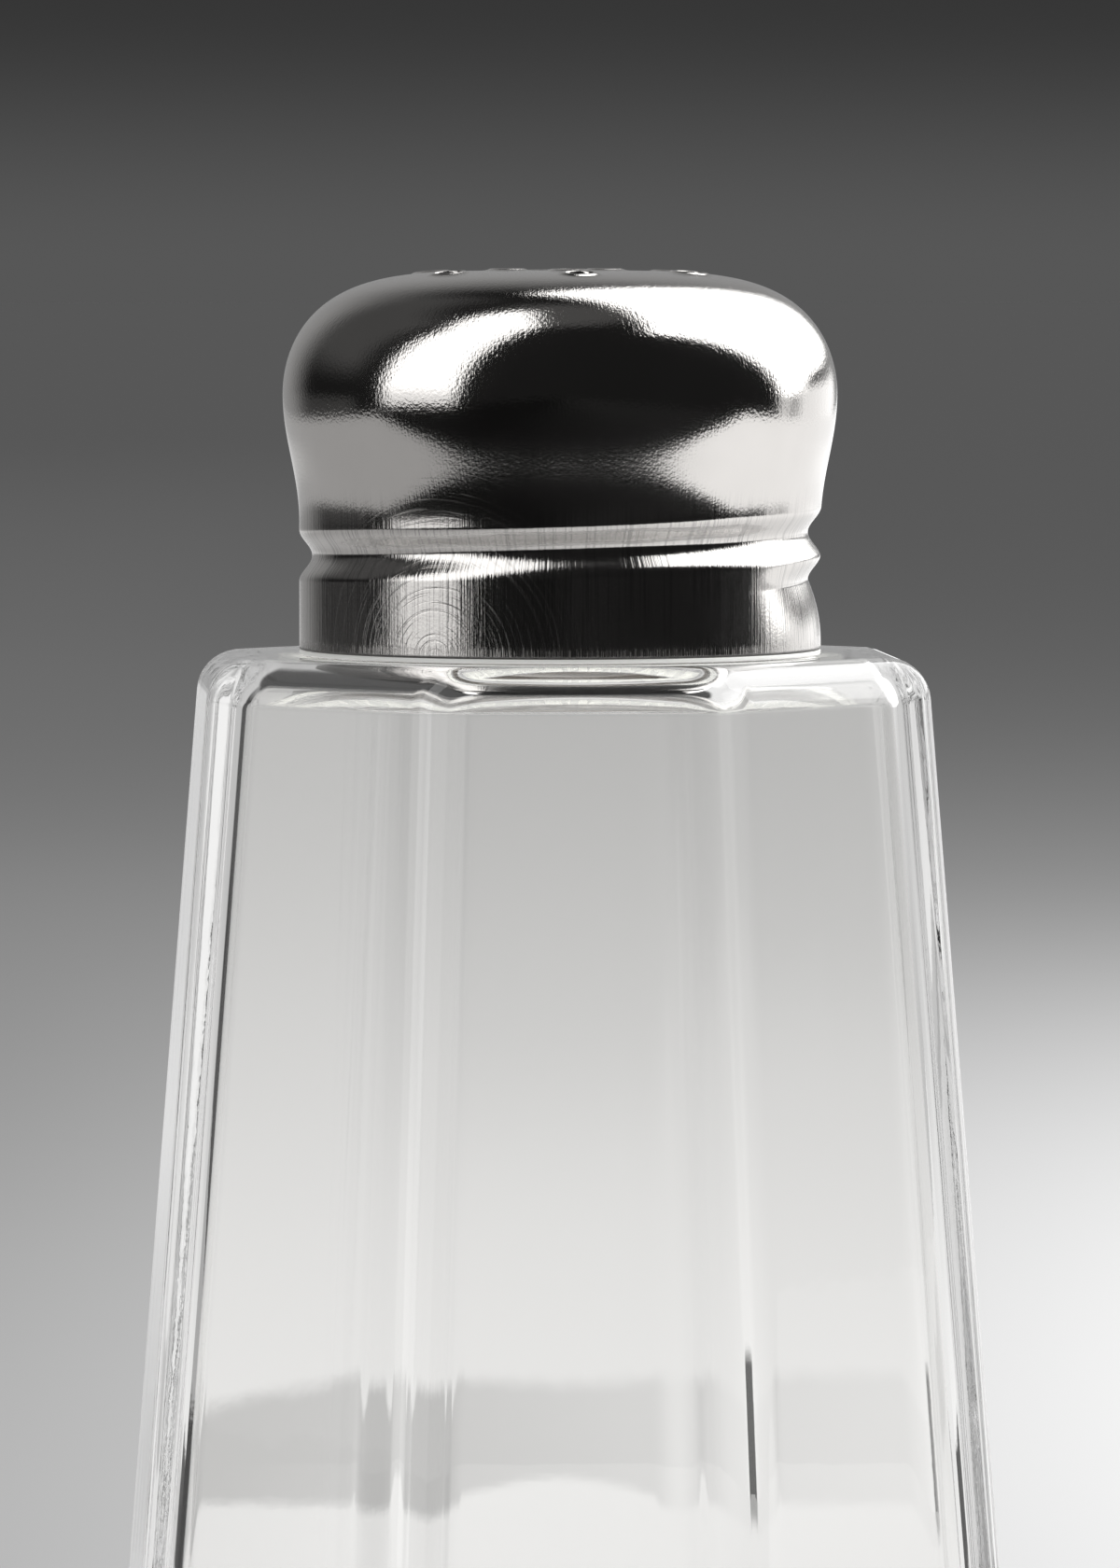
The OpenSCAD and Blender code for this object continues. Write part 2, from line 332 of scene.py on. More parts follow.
in_glass = 0.93 - (1 - side.step(-0.3, 0.0)) * 0.22 - (1 - side.step(-0.045, -0.005)) * 0.1
arch = aside.step(0.0, 0.013) * 0.018 + (nodes.noise(place, 260.0) - 0.5) * 0.006
shaded = (1 - (ahead - arch).step(-0.267, -0.255)) * foot_shade(side)
in_glass = in_glass * (1 - shaded) - ahead.step(0.15, 0.22) * 0.65
dark_left = leftward.step(0.24, 0.32) * ahead.step(-0.62, -0.5)
dark_right = side.step(0.15, 0.17) * (1 - side.step(0.4, 0.5)) * (1 - ahead.step(-0.26, -0.24))
in_glass = in_glass * (1 - dark_left * 0.9 - dark_right * 0.55)
print("floor nodes with what glass sees", len(paper.node_tree.nodes))

# %% The floor
painted = mirrored * in_mirrors + through * in_glass
lit = nodes.node("ShaderNodeEmission", sockets={"Color": painted, "Strength": 1.0})
painted_share = mirrored + through * reach.step(0.05, 0.12)
surface = nodes.node("ShaderNodeMixShader", sockets={0: painted_share, 1: paper_surface, 2: lit})
nothing = nodes.node("ShaderNodeBsdfTransparent")
surface = nodes.node("ShaderNodeMixShader", sockets={
    0: mirrored * aside.step(0.56, 0.8), 1: surface, 2: nothing})
nodes.node("ShaderNodeOutputMaterial", sockets={"Surface": surface})
floor_reach = 12.0
corners = [(x * floor_reach, y * floor_reach, 0) for x, y in ((-1, -1), (1, -1), (1, 1), (-1, 1))]
floor = flat_sheet("floor", corners, paper)
print("floor nodes", len(paper.node_tree.nodes))

# %% [markdown]
# ## The pale card
#
# Clear glass shows what lies behind it. A photographer who wants bright glass before a darker
# backdrop stands a pale card behind it, cut so that only the glass shows it. Here the card is seen
# only by rays that went through glass, so it needs no cutting. A soft shade lies along its foot and
# reaches onto the floor: the grey band low in the jar. Far out to the left and right the foot is
# dark, which only the bent rays at the jar's edges find, and they draw thin dark streaks there.

# %% The brightness of the card
card_paper, nodes = new_material("pale_card")
place = nodes.node("ShaderNodeTexCoord", out="Object")
card_z = nodes.dot(place, (0, 0, 1))
card_side = nodes.dot(place, tuple(to_the_right))
card_aside = card_side.math("ABSOLUTE", card_side)
card_left = 0 - card_side
card_light = 0.44 + (1 - card_z.step(0.0, 0.075)) * 0.37 + card_side.step(-0.2, 0.2) * 0.12
card_light = card_light + card_aside.step(0.04, 0.16) * 0.08
slope_left = card_left.step(0.0145, 0.033) * (1 - card_left.step(0.035, 0.05))
shade_top = card_aside.step(0.0, 0.013) * 0.0008 - slope_left * 0.0028
shade_top = shade_top + (nodes.noise(place, 420.0) - 0.5) * 0.0012
shaded = (1 - (card_z - shade_top).step(0.0056, 0.0078)) * foot_shade(card_side)
dark_ends = card_side.step(0.155, 0.175) + card_left.step(0.2, 0.24)
dark_ends = dark_ends * (1 - card_z.step(0.0115, 0.0138)) * 0.9
card_light = card_light * (1 - shaded) * (1 - dark_ends)
# The card glows with this painted light of its own; no lamp lights it.
lit = nodes.node("ShaderNodeEmission", sockets={"Color": card_light, "Strength": 1.0})
nodes.node("ShaderNodeOutputMaterial", sockets={"Surface": lit})
print("card nodes", len(card_paper.node_tree.nodes))

# %% The card set up behind the jar
card_distance, card_half_width, card_top = 0.27, 0.45, 0.16
corners = []
for end, z in ((-1, 0), (1, 0), (1, card_top), (-1, card_top)):
    across = to_the_right * end * card_half_width
    corners.append(across - towards_camera * card_distance + Vector((0, 0, z)))
card = flat_sheet("pale_card", corners, card_paper)
card.visible_camera = card.visible_diffuse = card.visible_glossy = card.visible_shadow = False
print("stage", floor.name, card.name)

# %% [markdown]
# ## A mesh from rings
#
# All three pieces are round or nearly so. A ring of points is drawn for every height of the
# outline, and neighbouring rings are joined by four-sided faces. One walk over the rings, up the
# outside and down the inside, closes the whole skin, so the glass has a true thickness.

# %% Joining rings into a skin
def skin(first, rings, count):
    """Faces between rings of count points, numbered from first, that follow each other."""
    faces = []
    for ring in range(rings - 1):
        low = first + ring * count
        for j in range(count):
            k = (j + 1) % count
            faces.append((low + j, low + k, low + count + k, low + count + j))
    return faces

# %% A piece from points and faces
def make_piece(name, points, faces, body, node, material):
    """A smooth mesh piece, given in millimetres, that stands for a solid and rides on its body."""
    mesh = bpy.data.meshes.new(name)
    mesh.from_pydata((np.asarray(points) * MM).tolist(), [], faces)
    mesh.validate()
    mesh.materials.append(material)
    mesh.shade_smooth()
    piece = bpy.data.objects.new(name, mesh)
    scene.collection.objects.link(piece)
    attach(piece, body)
    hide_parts(node)
    off = max(abs(a / MM - b / MM) for a, b in zip(
        np.concatenate(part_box(node)),
        np.concatenate([np.min(points, 0) * MM, np.max(points, 0) * MM])))
    print(f"{name}: {len(mesh.vertices)} points, {len(mesh.polygons)} faces, box within {off:.2f} mm")
    return piece

# %% Rounding the corners of an outline
def rounded(corners):
    """Points along corners given as (radius from the axis, height, rounding, steps)."""
    line = [np.array(corner[:2], float) for corner in corners]
    points = [line[0]]
    for i in range(1, len(line) - 1):
        rounding, steps = corners[i][2:]
        if rounding == 0:
            points.append(line[i])
            continue
        back, ahead = (end - line[i] for end in (line[i - 1], line[i + 1]))
        back, ahead = back / np.linalg.norm(back), ahead / np.linalg.norm(ahead)
        half = math.acos(np.clip(back @ ahead, -1, 1)) / 2
        middle = line[i] + (back + ahead) / np.linalg.norm(back + ahead) * rounding / math.sin(half)
        start = line[i] + back * rounding / math.tan(half) - middle
        end = line[i] + ahead * rounding / math.tan(half) - middle
        turn = math.atan2(start[0] * end[1] - start[1] * end[0], start @ end)
        for share in np.linspace(0, 1, steps + 1):
            c, s = math.cos(turn * share), math.sin(turn * share)
            points.append(middle + (start[0] * c - start[1] * s, start[0] * s + start[1] * c))
    points.append(line[-1])
    return points

# %% [markdown]
# ## The glass jar
#
# The jar is pressed or blown in a mould: flat panels outside, softly rounded upright edges, a
# rounded shoulder and heel, a thick base and a threaded neck. Inside, the glass was free to flow,
# so the hollow's corners are rounder. A level cut through the body is an octagon with arcs for
# corners, and a level cut through the neck is a circle. Both get the same number of points, so
# one skin runs over foot, panels, shoulder, neck and lip and down the hollow to its floor.

# %% Sizes of the jar in millimetres
foot_half, shoulder_half, shoulder_z = 26.8, 20.6, 79.7
panel_slope = (foot_half - shoulder_half) / shoulder_z
lean = math.atan(panel_slope)
heel_round, hollow_round = 2.5, 1.3
wall, floor_z, hollow_z = 2.6, 7.0, 78.0
outer_corner, inner_corner = 2.4, 4.0
dish_radius, dish_depth = 20.8, 1.0
rim_z = shoulder_z + 0.25
neck_radius, mouth_radius, neck_z = 13.6, 11.0, 90.2
print("panels lean", round(math.degrees(lean), 2), "degrees")

# %% A level cut through the body
panels, flat_points, arc_points = 8, 19, 8


def octagon(half_width, corner):
    """Points round an octagon with rounded corners; its panels face +X, -X, +Y and -Y and between."""
    half_turn = math.pi / panels
    flat_end = (half_width - corner) * math.tan(half_turn)
    places = np.concatenate([[-1], np.linspace(-0.97, 0.97, flat_points - 2), [1]])
    flat = np.column_stack([np.full(flat_points, half_width), flat_end * places])
    turn = np.linspace(0, 2 * half_turn, arc_points + 2)[1:-1]
    arc = np.column_stack([np.cos(turn), np.sin(turn)]) * corner + [half_width - corner, flat_end]
    panel = np.concatenate([flat, arc])
    around = []
    for i in range(panels):
        c, s = math.cos(2 * half_turn * i), math.sin(2 * half_turn * i)
        around.append(panel @ np.array([[c, s], [-s, c]]))
    return np.concatenate(around)


jar_count = len(octagon(foot_half, outer_corner))
shoulder_cut = octagon(shoulder_half, outer_corner)
jar_angles = np.arctan2(shoulder_cut[:, 1], shoulder_cut[:, 0])


def circle(radius, angles):
    return np.column_stack([np.cos(angles), np.sin(angles)]) * np.reshape(radius, (-1, 1))


def at_height(cut, z):
    return np.column_stack([cut, np.full(len(cut), z)])


print("points round the jar", jar_count)

# %% The outline of the panels, from the heel to the shoulder or round the hollow
def panel_line(inset, low_z, high_z, rounding, steps, rows):
    """(half width, height) up a panel that is set in by inset, rounded at both ends."""
    line = []
    lower, upper = (low_z + rounding, -math.pi / 2, lean), (high_z - rounding, lean, math.pi / 2)
    for z, start, end in (lower, upper):
        middle = foot_half - inset - (rounding + z * math.sin(lean)) / math.cos(lean)
        for turn in np.linspace(start, end, steps):
            line.append((middle + rounding * math.cos(turn), z + rounding * math.sin(turn)))
    low, high = line[steps - 1], line[steps]
    between = [np.array(low) + (np.array(high) - low) * share for share in np.linspace(0, 1, rows)]
    return line[:steps] + between[1:-1] + line[steps:]

# %% The thread on the neck
pitch, thread_height, thread_crest, thread_foot = 2.75, 0.75, 0.7, 1.8
thread_top, thread_end, thread_turns, thread_runout = 88.3, 378.727, 1.35, 30.0


def thread(angles, z):
    """Height of the glass thread above the neck at one height, in each direction."""
    ridge = np.zeros(len(angles))
    for turn in (-360, 0, 360):
        angle = np.degrees(angles) % 360 + turn
        along = angle - thread_end + 360 * thread_turns
        full = np.clip(np.minimum(along, 360 * thread_turns - along) / thread_runout, 0, 1)
        off = np.abs(z - thread_top + pitch * (thread_end - angle) / 360)
        rise = np.clip((thread_foot / 2 - off) / (thread_foot - thread_crest) * 2, 0, 1)
        ridge = np.maximum(ridge, thread_height * full * rise * rise * (3 - 2 * rise))
    return ridge

# %% Rings of the jar: the dish under the foot, the heel, the panels and the shoulder
rings, round_steps, panel_rows = [], 10, 18
for radius in np.linspace(0, dish_radius, 9)[1:]:
    rings.append(at_height(circle(radius, jar_angles), dish_depth * (1 - (radius / dish_radius) ** 2)))
rings.append(at_height(circle(dish_radius + 0.4, jar_angles), 0))
for half_width, z in panel_line(0, 0, shoulder_z, heel_round, round_steps, panel_rows):
    rings.append(at_height(octagon(half_width, outer_corner), z))
print("rings up to the shoulder", len(rings))

# %% Rings of the jar: the neck with its thread, the lip and the mouth
thread_low, thread_high, thread_rows = 83.4, 89.2, 0.15
ceiling_radius = 13.4
neck_line = [(neck_radius + 3, shoulder_z), (neck_radius, shoulder_z), (neck_radius, thread_low)]
for z in np.arange(thread_low + 0.1, thread_high - 0.05, thread_rows):
    neck_line.append((neck_radius, z))
neck_line += rounded([
    (neck_radius, thread_high, 0, 0), (neck_radius, neck_z, 0.9, 7), (mouth_radius + 1, neck_z, 0.3, 4),
    (mouth_radius, neck_z - 1, 0.5, 4), (mouth_radius, hollow_z, 0.7, 6),
    (ceiling_radius, hollow_z, 0, 0)])
for radius, z in neck_line:
    ridge = thread(jar_angles, z) if radius == neck_radius else 0
    rings.append(at_height(circle(radius + ridge * np.ones(jar_count), jar_angles), z))
print("rings up to the hollow", len(rings))

# %% Rings of the jar: the hollow and its floor
hollow_line = panel_line(wall, floor_z, hollow_z, hollow_round, round_steps, panel_rows)
for half_width, z in reversed(hollow_line):
    rings.append(at_height(octagon(half_width, inner_corner), z))
floor_radii = (17.0, 12.0, 7.0, 3.0)
for radius in floor_radii:
    rings.append(at_height(circle(radius, jar_angles), floor_z))
print("rings of the jar", len(rings))

# %% The skin of the jar
jar_points = np.concatenate(rings + [[[0, 0, dish_depth]], [[0, 0, floor_z]]])
jar_faces = skin(0, len(rings), jar_count)
under, inside = len(jar_points) - 2, len(jar_points) - 1
last_ring = (len(rings) - 1) * jar_count
for j in range(jar_count):
    k = (j + 1) % jar_count
    jar_faces.append((under, k, j))
    jar_faces.append((inside, last_ring + j, last_ring + k))
print("faces of the jar", len(jar_faces))

# %% [markdown]
# ### Clear glass
#
# Tableware glass is clear and almost without colour. Pressed glass is never quite flat: the panels
# ripple faintly and hold a few seeds, which are tiny bubbles. Both are far smaller than the mesh,
# so a Bump node makes them. Glass in a renderer stops the rays of lamps, and the floor inside its
# shadow goes black. Letting the rays that carry light pass straight through keeps the shadow soft.

# %% Ripples and seeds
clear_glass, nodes = new_material("clear_glass")
place = nodes.node("ShaderNodeTexCoord", out="Object")
ripple = nodes.noise(place, 210.0) * 0.7 + nodes.noise(place, 900.0) * 0.12
ripple = ripple + nodes.noise(place, 2600.0) * 0.05
cells = {"Vector": place, "Scale": 140.0}
seed_reach = nodes.node("ShaderNodeTexVoronoi", sockets=cells, out="Distance")
seed_draw = nodes.node("ShaderNodeTexVoronoi", sockets=cells, out="Color")
seeds = (1 - seed_reach.step(0.012, 0.03)) * nodes.dot(seed_draw, (1, 0, 0)).step(0.8, 0.82)
uneven = nodes.node("ShaderNodeBump", sockets={
    "Strength": 0.1, "Distance": 0.03 * MM, "Height": ripple - seeds * 3})
print("glass nodes for ripples and seeds", len(clear_glass.node_tree.nodes))

# %% The finish of the glass
glass = nodes.node("ShaderNodeBsdfPrincipled", sockets={
    "Base Color": (0.997, 0.994, 0.986, 1), "Roughness": 0.0, "IOR": 1.5,
    "Transmission Weight": 1.0, "Normal": uneven})
open_air = nodes.node("ShaderNodeBsdfTransparent", sockets={"Color": grey(0.93)})
shadow_ray = nodes.node("ShaderNodeLightPath", out="Is Shadow Ray")
diffuse_ray = nodes.node("ShaderNodeLightPath", out="Is Diffuse Ray")
passing = shadow_ray.math("MAXIMUM", shadow_ray, diffuse_ray)
surface = nodes.node("ShaderNodeMixShader", sockets={0: passing, 1: glass, 2: open_air})
nodes.node("ShaderNodeOutputMaterial", sockets={"Surface": surface})
jar = make_piece(
    "glass_jar_clear", jar_points, jar_faces, "jar", "glass_jar", clear_glass)
even = jar.modifiers.new("flat_panels_stay_flat", "WEIGHTED_NORMAL")
even.keep_sharp = True

# %% [markdown]
# ## The seal ring
#
# A thin pale ring shows between the lid's cut edge and the glass. It is cut from sheet plastic, so
# its faces are flat and its edges only just broken. A rounded rectangle is turned about the axis.

# %% The shape of the seal ring
seal_inner, seal_outer, seal_edge = 13.68, 15.1, 0.06
turn_count = 192
turn_angles = np.linspace(0, 2 * math.pi, turn_count, endpoint=False)
middle = (seal_inner + seal_outer) / 2
seal_line = rounded([
    (middle, shoulder_z, 0, 0), (seal_outer, shoulder_z, seal_edge, 4),
    (seal_outer, rim_z, seal_edge, 4), (seal_inner, rim_z, seal_edge, 4),
    (seal_inner, shoulder_z, seal_edge, 4), (middle, shoulder_z, 0, 0)])
seal_points = np.concatenate([at_height(circle(r, turn_angles), z) for r, z in seal_line[:-1]])
seal_faces = skin(0, len(seal_line) - 1, turn_count)
closing = (len(seal_line) - 2) * turn_count
for j in range(turn_count):
    k = (j + 1) % turn_count
    seal_faces.append((closing + j, closing + k, k, j))
print("faces of the seal ring", len(seal_faces))

# %% The finish of the seal ring
pale_seal, nodes = new_material("pale_seal")
place = nodes.node("ShaderNodeTexCoord", out="Object")
cloudy = nodes.noise(place, 300.0)
tone = nodes.mix(cloudy, (0.78, 0.78, 0.75, 1), (0.9, 0.9, 0.87, 1))
grain = nodes.node("ShaderNodeBump", sockets={
    "Strength": 0.2, "Distance": 0.05 * MM, "Height": nodes.noise(place, 4000.0)})
# A faint emission gives the ring painted light of its own, so its upright face stays pale where the
# lamp hardly reaches it.
surface = nodes.node("ShaderNodeBsdfPrincipled", sockets={
    "Base Color": tone, "Roughness": 0.35 + cloudy * 0.2, "IOR": 1.48, "Normal": grain,
    "Emission Color": (1, 1, 0.97, 1), "Emission Strength": 0.35})
nodes.node("ShaderNodeOutputMaterial", sockets={"Surface": surface})
make_piece("seal_ring_pale", seal_points, seal_faces, "ring", "seal_ring", pale_seal)

# %% [markdown]
# ## The screw lid
#
# The lid starts as a disc of sheet steel. It is drawn into a cup with a mushroom crown, its holes
# are punched from inside, which raises a low lip round each, and a thread is rolled into its skirt
# by a wheel from outside. Where the wheel starts, the sheet below it bends out like a bell. The
# inside keeps the plain groove, which has to clear the glass thread. The side and the crown's
# shoulder are rings again, with the rolled groove pressed into the radius. The top, where the holes
# break the rings, is filled with triangles between the last ring and a small patch round each hole.

# %% Sizes of the lid in millimetres, with heights above its cut edge
sheet = 0.45
skirt_radius, skirt_height = 15.1, 7.4
widest_radius, widest_height, lid_height = 16.05, 14.8, 21.9
squareness = 4.6
groove_depth, groove_width, groove_turns, groove_runout = 0.75, 3.0, 1.35, 60.0
groove_start, groove_direction = 3.7, -50.0
groove_runin, groove_flare, flare_start, flare_end = 35.0, 2.0, 60.0, 120.0
hole_radius, hole_rings, first_hole = 0.8, ((8.1, 6), (3.3, 3)), -86.0
plate_radius, crown_steps = 11.5, 26
lid_count = 240
lid_angles = np.linspace(0, 2 * math.pi, lid_count, endpoint=False)
print("lid", 2 * widest_radius, "mm wide and", lid_height, "mm tall")

# %% The rolled groove and the side
def groove(z, bell):
    """Depth of the rolled groove at one height, in each direction, with or without its bell below."""
    deep = np.zeros(lid_count)
    for turn in range(math.ceil(groove_turns)):
        along = (np.degrees(lid_angles) - groove_direction) % 360 + 360 * turn
        left_over = 360 * groove_turns - along
        full = np.clip(np.minimum(along / groove_runin, left_over / groove_runout), 0, 1)
        full = full * full * (3 - 2 * full)
        off = z - groove_start - pitch * along / 360
        flare = np.clip((flare_end - along) / (flare_end - flare_start), 0, 1)
        flare = np.where(off < 0, flare * bell, 0)
        flank = np.clip(np.abs(off) / (groove_width / 2 + groove_flare * flare), 0, 1)
        form = (1 - flare) * (1 + np.cos(math.pi * flank)) / 2 + flare * (1 - flank) ** 2
        deep = np.maximum(deep, groove_depth * full * form)
    return deep


def side_radius(z):
    """Radius of the lid's outside below its widest part, before the groove is rolled."""
    way = max(0.0, (z - skirt_height) / (widest_height - skirt_height))
    return skirt_radius + (widest_radius - skirt_radius) * (1 - math.cos(math.pi * way)) / 2

# %% The crown
def crown_height(radius, depth):
    """Height of the crown's outer face, or of one that lies deeper in the sheet."""
    way = np.clip(radius / (widest_radius - depth), 0, 1)
    return widest_height + (lid_height - widest_height - depth) * np.sqrt(1 - way ** squareness)


def crown_line(depth, steps):
    """(radius, height) up the crown from its widest part to the edge of the top plate."""
    last = math.asin((plate_radius / (widest_radius - depth)) ** (squareness / 2))
    for turn in np.linspace(math.pi / 2, last, steps + 1)[1:]:
        radius = (widest_radius - depth) * math.sin(turn) ** (2 / squareness)
        yield radius, float(crown_height(radius, depth))


low_rows = [0.1, 0.16, 0.24, 0.5, 0.75, 1.0, 1.25, 1.5, 1.75]
groove_rows = np.arange(2.0, 9.1, 0.07)
upper_rows = np.linspace(9.2, widest_height, 22)
side_heights = np.concatenate([low_rows, groove_rows, upper_rows])
print("rows up the lid's side", len(side_heights))

# %% All rings of the lid, down the inside, round the cut edge and up the outside
lid_rings = []
for radius, z in reversed(list(crown_line(sheet, crown_steps))):
    lid_rings.append(at_height(circle(radius, lid_angles), z))
for z in reversed(side_heights):
    lid_rings.append(at_height(circle(side_radius(z) - groove(z, 0) - sheet, lid_angles), z))
for inset, z in ((sheet - 0.04, 0.03), (sheet - 0.12, 0.0), (0.12, 0.0), (0.04, 0.03)):
    lid_rings.append(at_height(circle(skirt_radius - inset, lid_angles), z))
for z in side_heights:
    lid_rings.append(at_height(circle(side_radius(z) - groove(z, 1), lid_angles), z))
for radius, z in crown_line(0, crown_steps):
    lid_rings.append(at_height(circle(radius, lid_angles), z))
lid_points = np.concatenate(lid_rings)
lid_faces = skin(0, len(lid_rings), lid_count)
print("rings of the lid", len(lid_rings))

# %% Places of the sprinkle holes
hole_places = []
for ring_radius, count in hole_rings:
    for i in range(count):
        angle = math.radians(first_hole + 360 * i / count)
        hole_places.append(np.array([math.cos(angle), math.sin(angle)]) * ring_radius)
patch_radius, patch_count = 1.5, 36
patch_angles = np.linspace(0, 2 * math.pi, patch_count, endpoint=False)
print("holes", len(hole_places))

# %% Points of the top plate: its edge, a patch round each hole and a grid between
spacing = 0.55
flat = [tuple(point) for point in circle(plate_radius, lid_angles)]
edges = [(j, (j + 1) % lid_count) for j in range(lid_count)]
for place in hole_places:
    first = len(flat)
    flat += [tuple(point) for point in circle(patch_radius, patch_angles) + place]
    edges += [(first + j, first + (j + 1) % patch_count) for j in range(patch_count)]
grid = range(-24, 25)
for row in grid:
    for column in grid:
        point = np.array([column + row % 2 / 2, row * math.sqrt(3) / 2]) * spacing
        clear = min(np.linalg.norm(point - place) for place in hole_places)
        if np.linalg.norm(point) < plate_radius - spacing / 2 and clear > patch_radius + spacing / 2:
            flat.append(tuple(point))
print("points for the plate", len(flat))

# %% The top plate, filled with triangles round the holes
filled = delaunay_2d_cdt([Vector(point) for point in flat], edges, [], 0, 1e-6)
plate = np.array([tuple(point) for point in filled[0]])
triangles = []
for face in filled[2]:
    middle = plate[list(face)].mean(0)
    if min(np.linalg.norm(middle - place) for place in hole_places) > patch_radius * 0.99:
        triangles.append(tuple(face))
print("plate points", len(plate), "of", len(flat), "triangles", len(triangles))

# %% Both faces of the plate, joined to the rings
top_ring = (len(lid_rings) - 1) * lid_count
added = len(plate) - lid_count
outer_first = len(lid_points) - lid_count
inner_first = outer_first + added
radii = np.linalg.norm(plate[lid_count:], axis=1)
outer_plate = np.column_stack([plate[lid_count:], crown_height(radii, 0)])
inner_plate = np.column_stack([plate[lid_count:], crown_height(radii, sheet)])
lid_points = np.concatenate([lid_points, outer_plate, inner_plate])


def on_plate(i, ring_start, plate_start):
    """Number of a plate point in the whole lid: its edge belongs to the last ring of the side."""
    return ring_start + i if i < lid_count else plate_start + i


for a, b, c in triangles:
    lid_faces.append(tuple(on_plate(i, top_ring, outer_first) for i in (a, b, c)))
    lid_faces.append(tuple(on_plate(i, 0, inner_first) for i in (c, b, a)))
print("points of the lid with its plate", len(lid_points))

# %% The punched lips and the walls of the holes
lip_line = [
    (0.52, 0.01), (0.38, 0.04), (0.28, 0.08), (0.2, 0.11),
    (0.14, 0.12), (0.07, 0.118), (0.02, 0.1), (0, 0.06)]
wall_line = [(0, 0.2), (0, sheet - 0.03), (0.04, sheet), (0.3, sheet)]


def hole_ring(place, outward, depth, lift):
    """A ring round a hole, on the crown's outer face or deeper in the sheet, and lifted."""
    around = circle(hole_radius + outward, patch_angles) + place
    return np.column_stack([around, crown_height(np.linalg.norm(around, axis=1), depth) + lift])


print("rings round each hole", len(lip_line) + len(wall_line))

# %% The holes joined to both faces of the plate
for number, place in enumerate(hole_places):
    hole_first = len(lid_points)
    local = [hole_ring(place, outward, 0, lift) for outward, lift in lip_line]
    local += [hole_ring(place, outward, depth, 0) for outward, depth in wall_line]
    lid_points = np.concatenate([lid_points] + local)
    lid_faces += skin(hole_first, len(local), patch_count)
    patch = lid_count + number * patch_count
    last = hole_first + (len(local) - 1) * patch_count
    for j in range(patch_count):
        k = (j + 1) % patch_count
        upper = [on_plate(patch + i, top_ring, outer_first) for i in (j, k)]
        lower = [on_plate(patch + i, 0, inner_first) for i in (j, k)]
        lid_faces.append((upper[0], upper[1], hole_first + k, hole_first + j))
        lid_faces.append((last + j, last + k, lower[1], lower[0]))
lid_points = lid_points + [0, 0, rim_z]
print("points of the lid with its holes", len(lid_points))

# %% [markdown]
# ### Polished steel
#
# The lid was polished on a soft wheel, so it mirrors, but not like glass: fine hairlines run up the
# side, a fine grain breaks the edges of what it shows, and here and there the wheel left marks that
# curve round the spot where it pressed. Fingers grip the skirt, so it is duller and scored upright,
# and its tone is a little darker along the scores. The cut edge carries short ticks from trimming and
# is rougher, with a thin band of painted shade along it. All of it is finer than the mesh, so it goes
# into roughness, tone and a faint bump.

# %% Directions on the lid, for marks that follow its form
polished_steel, nodes = new_material("polished_steel")
place = nodes.node("ShaderNodeTexCoord", out="Object")
across_x, across_y = nodes.dot(place, (1, 0, 0)), nodes.dot(place, (0, 1, 0))
around = across_x.math("ARCTAN2", across_y, across_x)
above = nodes.dot(place, (0, 0, 1)) - rim_z * MM


def vector(x, y, z):
    return nodes.node("ShaderNodeCombineXYZ", sockets={0: x, 1: y, 2: z})


print("the lid's cut edge stands at", rim_z, "mm")

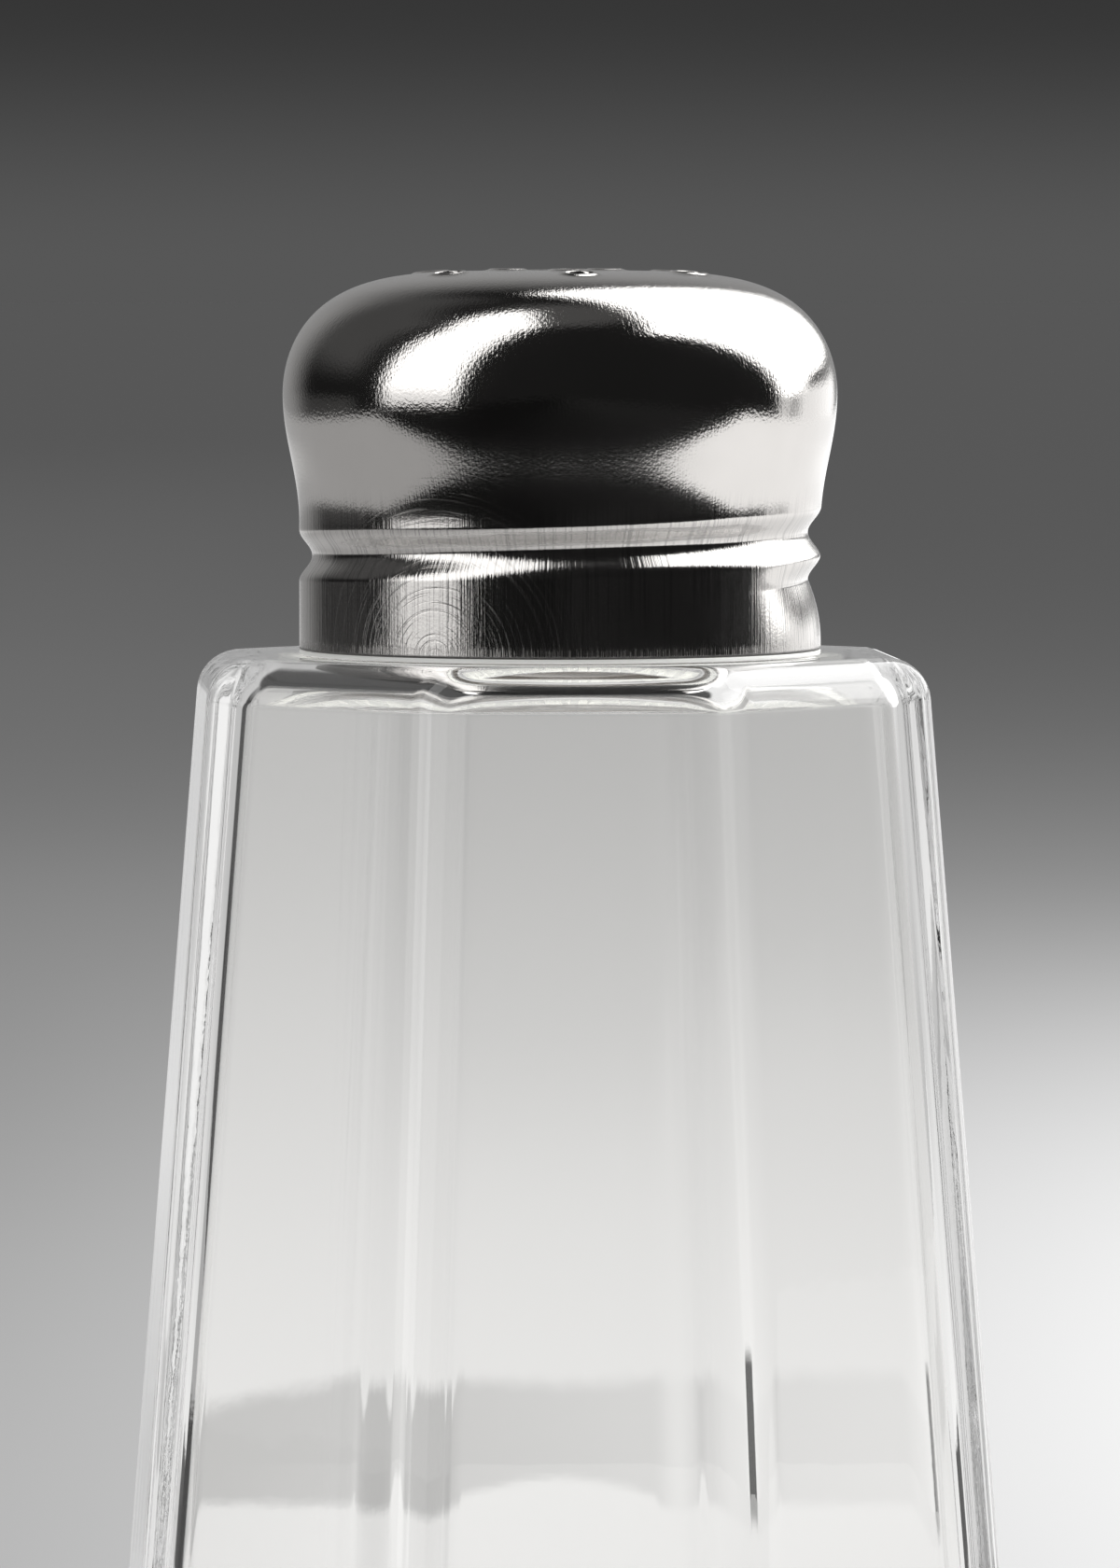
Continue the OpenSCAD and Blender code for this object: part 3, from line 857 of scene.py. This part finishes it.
# %% Upright hairlines, grain, the skirt's scores, and ticks at the cut edge
hairlines = nodes.noise(vector(around * 150.0 + above * 600.0, above * 450.0, 0.0), 1.0, 3.0)
crown = above.step(12 * MM, 15 * MM)
grain = nodes.noise(place, 6000.0, 1.0) * (0.9 + crown * 1.4)
scores = nodes.noise(vector(around * 120.0, above * 90.0, 5.0), 1.0, 2.0)
patches = nodes.noise(place, 260.0, 3.0)
ticks = nodes.noise(vector(around * 200.0, 0.0, 3.0), 1.0, 2.0).step(0.5, 0.6)
tick_reach = nodes.noise(vector(around * 60.0, 0.0, 7.0), 1.0) * 1.4 * MM
ticks = ticks * (1 - above.step(tick_reach * 0.6, tick_reach))
print("steel nodes for lines, grain and ticks", len(polished_steel.node_tree.nodes))

# %% Marks that curve round the spot where the wheel pressed
pressed_at = math.radians(-122)
spot = Vector((math.cos(pressed_at), math.sin(pressed_at), rim_z / skirt_radius)) * skirt_radius * MM
from_spot = nodes.node(
    "ShaderNodeVectorMath", {"operation": "DISTANCE"}, {0: place, 1: spot}, out="Value")
curves = nodes.noise(vector(from_spot * 6500.0, around * 3.0, 0.0), 1.0, 2.0).step(0.54, 0.64)
curves = curves * (1 - from_spot.step(5 * MM, 13 * MM)) * from_spot.step(0.3 * MM, 1 * MM)
curve_depth = 1.3 - from_spot.step(3.5 * MM, 7 * MM) * 0.9
print("the wheel pressed at", [round(part / MM, 1) for part in spot], "mm")

# %% The finish of the steel
# Along the cut edge the sheet is rougher, and a thin band of painted shade darkens its tone where the
# gap beneath it falls into shadow.
rough_edge_painted_shade = 1 - above.step(0.08 * MM, 0.22 * MM)
handled = 1 - above.step(6.5 * MM, 10 * MM)
roughness = 0.05 + patches * 0.04 + hairlines * 0.05 + handled * 0.04
roughness = roughness + ticks * 0.16 + curves * 0.1 + rough_edge_painted_shade * 0.25
tone = nodes.mix(patches, (0.645, 0.625, 0.605, 1), (0.725, 0.703, 0.682, 1))
tone = nodes.mix(scores.step(0.5, 0.66) * handled * 0.35, tone, grey(0.2))
# The painted shade along the cut edge.
tone = nodes.mix(rough_edge_painted_shade * 0.85, tone, grey(0.05))
relief = hairlines * 1.2 + grain + scores * handled * 4 - ticks * 1.6 - curves * curve_depth
worn = nodes.node("ShaderNodeBump", sockets={
    "Strength": 0.2, "Distance": 0.02 * MM, "Height": relief})
surface = nodes.node("ShaderNodeBsdfPrincipled", sockets={
    "Base Color": tone, "Metallic": 1.0, "Roughness": roughness, "Normal": worn})
nodes.node("ShaderNodeOutputMaterial", sockets={"Surface": surface})
make_piece(
    "screw_lid_steel", lid_points, lid_faces, "lid", "screw_lid", polished_steel)
